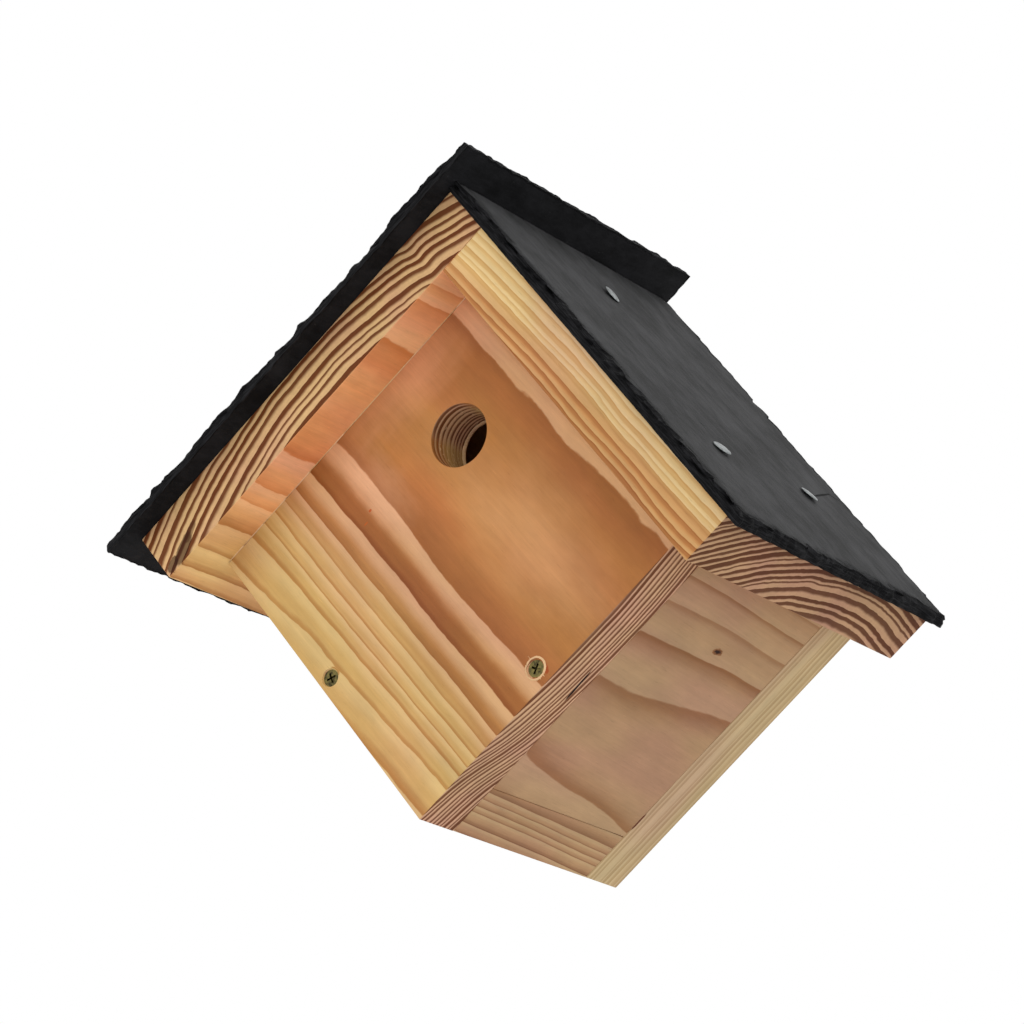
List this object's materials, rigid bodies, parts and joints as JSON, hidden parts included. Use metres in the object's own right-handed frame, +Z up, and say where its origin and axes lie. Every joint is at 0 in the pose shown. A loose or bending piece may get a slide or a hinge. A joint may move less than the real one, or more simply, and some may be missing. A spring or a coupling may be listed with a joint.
{
  "type": "birdhouse",
  "caption": "Wall-hung wooden nest box, square on its corner under a pitched roof covered with slate, with a round entrance hole and a front panel that unscrews.",
  "frame": {"origin": "centre of the hanging plate's round hole, in the plane of the wall", "axes": "+Z up, +Y into the wall, -Y out through the entrance hole, +X to the right seen from the front"},
  "size_m": [0.3161, 0.19, 0.2828],
  "materials": {
    "roof_left_wood": "planed softwood, oiled",
    "roof_right_wood": "planed softwood, oiled",
    "front_panel_wood": "planed softwood, oiled",
    "back_panel_wood": "planed softwood",
    "wall_left_wood": "planed softwood",
    "wall_right_wood": "planed softwood",
    "slate_stone": "split slate with hewn edges",
    "slate_nail_zinc": "galvanised",
    "board_screw_zinc": "zinc plated",
    "front_screw_zinc": "zinc plated, weathered",
    "hanger_steel": "zinc plated"
  },
  "bodies": {
    "house": {"roof_board_left": "roof_left_wood", "roof_board_right": "roof_right_wood", "back_panel": "back_panel_wood", "wall_left": "wall_left_wood", "wall_right": "wall_right_wood", "slate_left": "slate_stone", "slate_right": "slate_stone", "slate_nail_left_1": "slate_nail_zinc", "slate_nail_left_2": "slate_nail_zinc", "slate_nail_left_3": "slate_nail_zinc", "slate_nail_right_1": "slate_nail_zinc", "slate_nail_right_2": "slate_nail_zinc", "slate_nail_right_3": "slate_nail_zinc", "ridge_screw_1": "board_screw_zinc", "ridge_screw_2": "board_screw_zinc", "roof_wall_screw_left_1": "board_screw_zinc", "roof_wall_screw_left_2": "board_screw_zinc", "roof_wall_screw_right_1": "board_screw_zinc", "roof_wall_screw_right_2": "board_screw_zinc", "roof_back_screw_left_1": "board_screw_zinc", "roof_back_screw_left_2": "board_screw_zinc", "roof_back_screw_right_1": "board_screw_zinc", "roof_back_screw_right_2": "board_screw_zinc", "corner_screw_1": "board_screw_zinc", "corner_screw_2": "board_screw_zinc", "back_screw_left_1": "board_screw_zinc", "back_screw_left_2": "board_screw_zinc", "back_screw_right_1": "board_screw_zinc", "back_screw_right_2": "board_screw_zinc", "hanger_plate": "hanger_steel", "hanger_screw_1": "board_screw_zinc", "hanger_screw_2": "board_screw_zinc"},
    "front": {"front_panel": "front_panel_wood"},
    "screw_left": {"front_screw_left": "front_screw_zinc"},
    "screw_right": {"front_screw_right": "front_screw_zinc"}
  },
  "joints": [
    {"name": "front_panel_off", "type": "slide", "parent": "house", "child": "front", "axis": [0, -1, 0], "range_m": [0, 0.12]},
    {"name": "front_screw_left_out", "type": "slide", "parent": "front", "child": "screw_left", "axis": [0, -1, 0], "range_m": [0, 0.052]},
    {"name": "front_screw_right_out", "type": "slide", "parent": "front", "child": "screw_right", "axis": [0, -1, 0], "range_m": [0, 0.052]}
  ]
}
